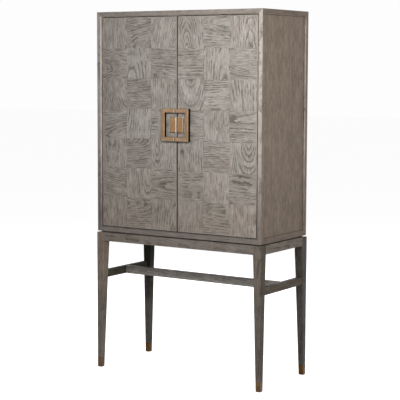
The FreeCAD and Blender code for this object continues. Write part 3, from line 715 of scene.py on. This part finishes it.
def ring_shade_frame(hand, finish):
    """Half of the black frame behind the rim of the ring, which fills its gap to the door as
    painted shade.
    """
    low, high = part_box("door_" + hand + "_ring")
    shaped = bmesh.new()
    bmesh.ops.create_grid(shaped, x_segments=1, y_segments=1,
                          size=(high.z - low.z) / 2 - BACKING_INSET)
    whole = shaped.faces[:]
    bmesh.ops.inset_region(shaped, faces=whole, thickness=BACKING_WIDTH, use_boundary=True,
                           use_even_offset=True)
    bmesh.ops.delete(shaped, geom=whole, context="FACES")
    bmesh.ops.bisect_plane(shaped, geom=shaped.verts[:] + shaped.edges[:] + shaped.faces[:],
                           dist=1e-7, plane_co=(-RING_SPLIT, 0.0, 0.0),
                           plane_no=(1.0, 0.0, 0.0), clear_outer=True)
    raised = bmesh.ops.extrude_face_region(shaped, geom=shaped.faces[:])["geom"]
    bmesh.ops.translate(shaped, verts=only_verts(raised),
                        vec=(0.0, 0.0, high.y - (low.y + RING_DEPTH)))
    turn = Matrix.Rotation(math.radians(90.0), 4, "X")
    move = Matrix.Translation((0.0, high.y, (low.z + high.z) / 2))
    flip = Matrix.Scale(1.0 if hand == "left" else -1.0, 4, (1.0, 0.0, 0.0))
    bmesh.ops.transform(shaped, verts=shaped.verts[:], matrix=flip @ move @ turn)
    sharp = [edge for edge in shaped.edges
             if len(edge.link_faces) == 2 and edge.calc_face_angle() > 1.0]
    bmesh.ops.bevel(shaped, geom=sharp, offset=BACKING_ARRIS, offset_type="OFFSET",
                    affect="EDGES", segments=2, profile=0.5, material=-1)
    set_down(shaped, "ring_backing_" + hand, "door_" + hand, finish)


shade_frame_finish = shade_frame_black()
for hand in HANDS:
    ring_finish(hand)
    ring_shade_frame(hand, shade_frame_finish)


# ---- handle plate -------------------------------------------------------------------------
# A square brass plate inside the ring, flat on the doors and split like it, with a bevel round
# each half. A stud through the door holds each half.
PLATE_BRASS = (0.27, 0.158, 0.080)
PLATE_WORN = (0.36, 0.212, 0.108)
# Painted highlights on the bevels of the plate, weaker where the halves meet.
BEVEL_HIGHLIGHT_BRASS = (0.50, 0.39, 0.27)
MIDDLE_BEVEL_WEAK_HIGHLIGHT = (0.235, 0.185, 0.135)
TOP_BEVEL_HIGHLIGHT_BRASS = (0.66, 0.59, 0.51)
BEVEL_WIDTH = 0.0042
BEVEL_DEPTH = (0.00005, 0.0003)
TOP_BEVEL_DULLER = 0.3


def plate_finish(hand):
    """The bevels round the plate carry a painted highlight, paler than its face and most of all
    on top, and a weaker one where the halves meet."""
    low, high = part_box("door_" + hand + "_plate")
    finish = aged_brass("plate_brass_" + hand, PLATE_BRASS, PLATE_WORN, roughness=0.27)
    x, y, z = finish.place()
    bevel = (y - low.y).rise(*BEVEL_DEPTH)
    middle = 1.0 - abs(x).above(min(abs(low.x), abs(high.x)) + BEVEL_WIDTH)
    top = (z - high.z).above(-BEVEL_WIDTH) * (1.0 - middle)
    painted_light = finish.blend(middle, BEVEL_HIGHLIGHT_BRASS, MIDDLE_BEVEL_WEAK_HIGHLIGHT)
    painted_light = finish.blend(top, painted_light, TOP_BEVEL_HIGHLIGHT_BRASS)
    finish.give(Base_Color=finish.blend(bevel, finish.given("Base Color"), painted_light),
                Roughness=finish.given("Roughness") + bevel * top * TOP_BEVEL_DULLER)
    finish.wear("door_" + hand + "_plate")


for hand in HANDS:
    plate_finish(hand)


# ---- handle nuts --------------------------------------------------------------------------
# Domed brass nuts on washers, on the inside of the doors. They are screwed onto the posts of
# the ring and the studs of the plate.
NUT_RADIUS = 0.0062
NUT_HEIGHT = 0.0045
NUT_STEPS = 24
WASHER_RADIUS = 0.0075
WASHER_HEIGHT = 0.001
POST_INSET = 0.010
PLATE_STUD = 0.021


def add_domed_nut(shaped, x, y, z):
    """A domed nut on a washer, on the inner face of a door."""
    profile = [(0.0, NUT_HEIGHT), (NUT_RADIUS * 0.5, NUT_HEIGHT * 0.88),
               (NUT_RADIUS * 0.86, NUT_HEIGHT * 0.5), (NUT_RADIUS, WASHER_HEIGHT),
               (WASHER_RADIUS * 0.96, WASHER_HEIGHT), (WASHER_RADIUS, WASHER_HEIGHT * 0.7),
               (WASHER_RADIUS, 0.0)]
    line = [shaped.verts.new((x + out, y + rise, z)) for out, rise in profile]
    edges = [shaped.edges.new(pair) for pair in zip(line, line[1:])]
    bmesh.ops.spin(shaped, geom=line + edges, cent=(x, y, z), axis=(0.0, 1.0, 0.0),
                   angle=math.tau, steps=NUT_STEPS, use_merge=True)
    bmesh.ops.remove_doubles(shaped, verts=shaped.verts[:], dist=1e-6)


def handle_nuts(hand, sign):
    low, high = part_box("door_" + hand + "_ring")
    inner_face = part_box("door_" + hand + "_core")[1].y
    middle = (low.z + high.z) / 2
    out = (high.z - low.z) / 2 - POST_INSET
    shaped = bmesh.new()
    for spot_x, spot_z in ((out, middle - out), (out, middle + out), (PLATE_STUD, middle)):
        add_domed_nut(shaped, sign * spot_x, inner_face, spot_z)
    set_down(shaped, "handle_nuts_" + hand, "door_" + hand, bright_brass)


handle_nuts("left", -1.0)
handle_nuts("right", 1.0)


# ---- galleries ----------------------------------------------------------------------------
# Two oak trays on the inside of each door hold bottles. A floor and two cheeks are glued to the
# door's core, and a square brass bar let into the cheeks runs across the front.
GALLERY_CHEEK = 0.0101


def gallery(hand):
    """The grain runs along each floor, and from front to back in the cheeks."""
    low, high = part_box("door_" + hand + "_galleries")
    finish = Finish("gallery_oak_" + hand, Specular_IOR_Level=OAK_GLOSS)
    x, y, z = finish.place()
    tray = (x - low.x).least(high.x - x).above(GALLERY_CHEEK)
    cheek = 1.0 - tray
    tone, relief = oak_figure(finish, x * tray + y * cheek, (y * tray + z) * 0.7,
                              (y - z) * tray * 0.7 + x * cheek, heart=0.55, depth=0.12,
                              tilt=0.03, strength=0.7)
    oak_surface(finish, tone, relief, INSIDE_TINT).wear("door_" + hand + "_galleries")


for hand in HANDS:
    gallery(hand)
bright_brass.wear("door_left_rails", "door_right_rails")


# ---- catches ------------------------------------------------------------------------------
# A magnetic catch for each door, in a blued steel shell fixed under the case's top, draws in the
# zinc-plated strike on the door's inner face.
BLUED = (0.085, 0.087, 0.092)
zinc.wear("door_left_strike", "door_right_strike")
blued_steel = plain_steel("blued_steel", BLUED, 0.42)
blued_steel.wear("door_catches")


# ---- shelves and bottle rack --------------------------------------------------------------
# Oak boards fixed between the sides: at the foot the dividers of the bottle cells with a shelf on
# them, then the counter, and a shelf above the niche. The loose shelf lies on four brass pins.
oak_board("shelf_oak", "xyz", INSIDE_TINT, heart=0.42, depth=0.12).wear(
    "fixed_shelf", "loose_shelf", "counter", "bottle_shelf")
oak_board("divider_oak", "yzx", INSIDE_TINT, heart=0.62, depth=0.14).wear("bottle_dividers")
bright_brass.wear("shelf_supports")


# ---- mirror -------------------------------------------------------------------------------
# Silvered glass at the back of the niche, foxed with age. Four brass clips, each with a slotted
# screw, hold it by its sides.
SILVER = (0.80, 0.79, 0.76)
FOXED = (0.36, 0.33, 0.29)
CLIP_REACH = 0.007
CLIP_WIDTH = 0.020
CLIP_HEIGHT = 0.012
CLIP_FRONT = 0.0016
CLIP_CORNER = 0.003
CLIP_TO_END = 0.05
CLIP_SCREW_SHARE = 0.68
CLIP_SCREW_SIZE = (0.0028, 0.0007)


def aged_mirror():
    finish = Finish("aged_mirror", Metallic=1.0)
    foxing = finish.cloud(finish.place(), 9.0, detail=6.0, roughness=0.7).rise(0.50, 0.78)
    return finish.give(Base_Color=finish.blend(foxing, SILVER, FOXED),
                       Roughness=foxing * 0.25 + 0.03)


aged_mirror().wear("mirror")
mirror_low, mirror_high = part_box("mirror")
start = mirror_high.x - CLIP_REACH
front = mirror_low.y - CLIP_FRONT
shaped = bmesh.new()
for sign in (-1.0, 1.0):
    for z in spread_evenly(mirror_low.z + CLIP_TO_END, mirror_high.z - CLIP_TO_END, 2):
        size = Matrix.Diagonal((CLIP_WIDTH, mirror_high.y - front, CLIP_HEIGHT, 1.0))
        middle = Matrix.Translation((sign * (start + CLIP_WIDTH / 2),
                                     (front + mirror_high.y) / 2, z))
        clip = bmesh.ops.create_cube(shaped, size=1.0, matrix=middle @ size)["verts"]
        corners = [edge for edge in once_each(edge for vert in clip for edge in vert.link_edges)
                   if abs(edge.verts[0].co.y - edge.verts[1].co.y) > 0.001]
        bmesh.ops.bevel(shaped, geom=corners, offset=CLIP_CORNER, offset_type="OFFSET",
                        affect="EDGES", segments=3, profile=0.5, material=-1)
        add_screw(shaped, (sign * (start + CLIP_WIDTH * CLIP_SCREW_SHARE), front, z),
                  (0.0, -1.0, 0.0), *CLIP_SCREW_SIZE)
set_down(shaped, "mirror_clips", "cabinet", bright_brass)


# ---- stemware rails -----------------------------------------------------------------------
# Six oak rails under the case's top, each a web with a wider flange below it, between which
# glasses hang by their feet. Two brass screws go up through each.
STEM_RAIL_COUNT = 6
FLANGE_HALF = 0.040
STEM_SCREW_INSET = 0.035
STEM_SCREW_SIZE = (0.0032, 0.0007)
oak_board("stem_rail_oak", "yxz", INSIDE_TINT, heart=0.70, depth=0.14).wear("stem_rails")
rails_low, rails_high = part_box("stem_rails")
shaped = bmesh.new()
for x in spread_evenly(rails_low.x + FLANGE_HALF, rails_high.x - FLANGE_HALF, STEM_RAIL_COUNT):
    for y in spread_evenly(rails_low.y + STEM_SCREW_INSET, rails_high.y - STEM_SCREW_INSET, 2):
        add_screw(shaped, (x, y, rails_low.z), (0.0, 0.0, -1.0), *STEM_SCREW_SIZE)
set_down(shaped, "stem_rail_screws", "cabinet", bright_brass)


# ---- fold-out shelf -----------------------------------------------------------------------
# The oak leaf stands in front of the mirror and folds down to the front, on brass pins that turn
# in bushes. Hide with two gilt lines round it is glued into its working face. Magnetic stops
# under the shelf above meet the strikes on its back when it is up.
LEAF_TINT = (0.96, 0.88, 0.78)
HIDE = (0.085, 0.045, 0.026)
HIDE_DARK = (0.030, 0.016, 0.010)
GILT = (0.52, 0.36, 0.15)
TOOLED_LINES = [(0.012, 0.0022), (0.0165, 0.0009)]
HIDE_GRAINS = 620.0


def tooled_leather():
    """Grained hide with gilt lines, each at a distance from the edge and of a width."""
    low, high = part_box("leaf_inlay")
    finish = Finish("inlay_leather", Specular_IOR_Level=0.4)
    x, y, z = spot = finish.place()
    at = finish.node("CombineXYZ", sockets={0: x, 1: y, 2: z})
    cell = finish.node("TexVoronoi", {"feature": "DISTANCE_TO_EDGE"},
                       {"Vector": at, "Scale": HIDE_GRAINS, "Randomness": 1.0})
    crease = 1.0 - cell.rise(0.0, 0.12)
    patch = finish.cloud(spot, 14.0, detail=4.0).rise(0.3, 0.75)
    tone = crease * 0.6 + patch * 0.4
    to_edge = (x - low.x).least(high.x - x).least((z - low.z).least(high.z - z))
    rubbed = finish.cloud(spot, 90.0, detail=3.0).rise(0.30, 0.48)
    gilt = 0.0
    for distance, width in TOOLED_LINES:
        gilt = gilt + (1.0 - abs(to_edge - distance).above(width / 2))
    gilt = gilt * rubbed
    hide = finish.blend(tone, HIDE, HIDE_DARK)
    finish.give(Base_Color=finish.blend(gilt, hide, GILT), Metallic=gilt,
                Roughness=crease * 0.2 + 0.42 - gilt * 0.12,
                Normal=finish.bump(0.0 - crease - gilt * 0.8, strength=0.5, distance=0.0003))
    finish.wear("leaf_inlay")


oak_board("leaf_oak", "xzy", LEAF_TINT, heart=1.10, depth=0.10, tilt=0.02).wear("leaf")
tooled_leather()
bright_brass.wear("leaf_pins", "leaf_bushes", "quadrant_guides")
zinc.wear("leaf_strikes")
blued_steel.wear("leaf_stops")


# ---- quadrants ----------------------------------------------------------------------------
# Two brass quadrants hold the leaf level. Each is turned about the line of the pins, screwed to
# an end of the leaf, and runs through a guide screwed to the case's side and a slot in the
# counter.
QUADRANT_RADIUS = 0.112
FOOT_SCREW_OFFSET = 0.0075
FOOT_SCREW_SIZE = (0.0027, 0.0007)
GUIDE_REACH = 0.443
GUIDE_ANGLE = math.radians(102.0)
GUIDE_SCREW_OFFSET = 0.0098
GUIDE_SCREW_SIZE = (0.0022, 0.0006)
pin_low, pin_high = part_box("leaf_pins")
hinge_y = (pin_low.y + pin_high.y) / 2
hinge_z = (pin_low.z + pin_high.z) / 2


def turned_brass():
    """Brass with fine rings from the lathe, about the line of the pins."""
    finish = Finish("quadrant_brass", Metallic=1.0)
    x, y, z = spot = finish.place()
    out = ((y - hinge_y) ** 2.0 + (z - hinge_z) ** 2.0) ** 0.5
    ring = finish.noise(out * 2400.0, x * 60.0, y * 9.0) - 0.5
    tone = bloom_of(finish, spot) * 0.7 + ring * 0.4
    return finish.give(Base_Color=finish.blend(tone, FITTING_BRASS, FITTING_WORN),
                       Roughness=ring * 0.12 + 0.27,
                       Normal=finish.bump(ring, strength=0.2, distance=0.0001))


turned_brass().wear("quadrants")
quadrant_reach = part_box("quadrants")[1].x
on_leaf, on_case = bmesh.new(), bmesh.new()
for sign in (-1.0, 1.0):
    for offset in (-1.0, 1.0):
        up = QUADRANT_RADIUS + offset * FOOT_SCREW_OFFSET
        add_screw(on_leaf, (sign * quadrant_reach, hinge_y, hinge_z + up), (sign, 0.0, 0.0),
                  *FOOT_SCREW_SIZE)
        out = QUADRANT_RADIUS + offset * GUIDE_SCREW_OFFSET
        add_screw(on_case, (sign * GUIDE_REACH, hinge_y - out * math.cos(GUIDE_ANGLE),
                            hinge_z + out * math.sin(GUIDE_ANGLE)), (-sign, 0.0, 0.0),
                  *GUIDE_SCREW_SIZE)
set_down(on_leaf, "quadrant_screws", "leaf", bright_brass)
set_down(on_case, "guide_screws", "cabinet", bright_brass)


# ---- studio -------------------------------------------------------------------------------
# A pale floor, a white surround, and soft lamps high in front. The camera stands at the front
# right, a little above the middle of the object, and is computed for a square picture.
FLOOR_SIZE = 60.0
FLOOR_DULL = (0.42, 0.42, 0.42)
FLOOR_PALE = (0.90, 0.90, 0.90)
FLOOR_GLOW = (0.885, 0.885, 0.885)
NO_GLOW = (0.0, 0.0, 0.0)
WORLD_COLOUR = (1.0, 1.0, 1.0)
WORLD_LIGHT = 0.09
WORLD_SHOWN = 0.985


def shown_rays(finish):
    """1 for the rays that show a background: from the camera, in gloss and through glass."""
    kinds = finish.node("LightPath").socket.node.outputs
    seen, gloss, glass = (Wire(finish, kinds["Is " + kind + " Ray"])
                          for kind in ("Camera", "Glossy", "Transmission"))
    return seen.most(gloss).most(glass)


class Surround(Finish):
    """The world's nodes, written as a finish's are."""

    def __init__(self, name):
        world = bpy.data.worlds.new(name)
        world.use_nodes = True
        bpy.context.scene.world = world
        self.tree = world.node_tree
        self.shader = self.tree.nodes["Background"]


def soft_box(name, place, aim, width, height, power):
    """A rectangular lamp at place, turned to aim."""
    lamp = bpy.data.lights.new(name, "AREA")
    lamp.shape = "RECTANGLE"
    lamp.size = width
    lamp.size_y = height
    lamp.energy = power
    held = bpy.data.objects.new(name, lamp)
    look = (Vector(aim) - Vector(place)).to_track_quat("-Z", "Y").to_matrix().to_4x4()
    held.matrix_world = Matrix.Translation(place) @ look
    bpy.context.scene.collection.objects.link(held)


shaped = bmesh.new()
bmesh.ops.create_grid(shaped, x_segments=1, y_segments=1, size=FLOOR_SIZE / 2)
floor_mesh = bpy.data.meshes.new("floor")
shaped.to_mesh(floor_mesh)
shaped.free()
floor = bpy.data.objects.new("floor", floor_mesh)
bpy.context.scene.collection.objects.link(floor)
paper = Finish("floor_paper", Roughness=0.95, Specular_IOR_Level=0.0, Emission_Strength=1.0)
shown = shown_rays(paper)
paper.give(Base_Color=paper.blend(shown, FLOOR_DULL, FLOOR_PALE),
           Emission_Color=paper.blend(shown, NO_GLOW, FLOOR_GLOW)).wear(floor)

surround = Surround("surround")
surround.give(Color=WORLD_COLOUR,
              Strength=shown_rays(surround) * (WORLD_SHOWN - WORLD_LIGHT) + WORLD_LIGHT)

soft_box("key_lamp", (0.86, -1.58, 1.82), (0.27, 0.0, 1.40), 1.2, 0.22, 24.0)
soft_box("front_lamp", (-1.3, -2.9, 1.95), (0.0, 0.0, 1.3), 1.1, 1.4, 4.0)
soft_box("side_lamp", (2.8, 0.4, 2.3), (0.3, 0.0, 1.3), 1.4, 1.4, 13.0)
soft_box("edge_lamp", (2.5, -1.85, 1.25), (0.0, -0.2, 1.25), 0.5, 0.9, 7.0)
soft_box("back_lamp", (-1.6, 2.8, 2.2), (0.0, 0.0, 1.1), 1.4, 1.4, 60.0)
soft_box("top_lamp", (0.0, 0.25, 4.3), (0.0, 0.25, 1.8), 1.4, 1.4, 40.0)

AZIMUTH = math.radians(33.192)
ELEVATION = math.radians(5.945)
ROLL = math.radians(0.183)
DISTANCE = 6.4598
TARGET = Vector((-0.00496, 0.00650, 0.86733))
FOCAL = 1289.98 / 400.0
SENSOR = 36.0
back_way = Vector((math.sin(AZIMUTH) * math.cos(ELEVATION),
                   -math.cos(AZIMUTH) * math.cos(ELEVATION), math.sin(ELEVATION)))
level_right = (-back_way).cross(Vector((0, 0, 1))).normalized()
level_up = level_right.cross(-back_way)
camera_right = level_right * math.cos(ROLL) + level_up * math.sin(ROLL)
camera_up = level_up * math.cos(ROLL) - level_right * math.sin(ROLL)
camera = bpy.data.cameras.new("camera")
camera.sensor_width = SENSOR
camera.lens = SENSOR * FOCAL
stand_point = bpy.data.objects.new("camera", camera)
turned = Matrix((camera_right, camera_up, back_way)).transposed().to_4x4()
stand_point.matrix_world = Matrix.Translation(TARGET + back_way * DISTANCE) @ turned
bpy.context.scene.collection.objects.link(stand_point)
bpy.context.scene.camera = stand_point
bpy.context.scene.view_settings.view_transform = "Standard"
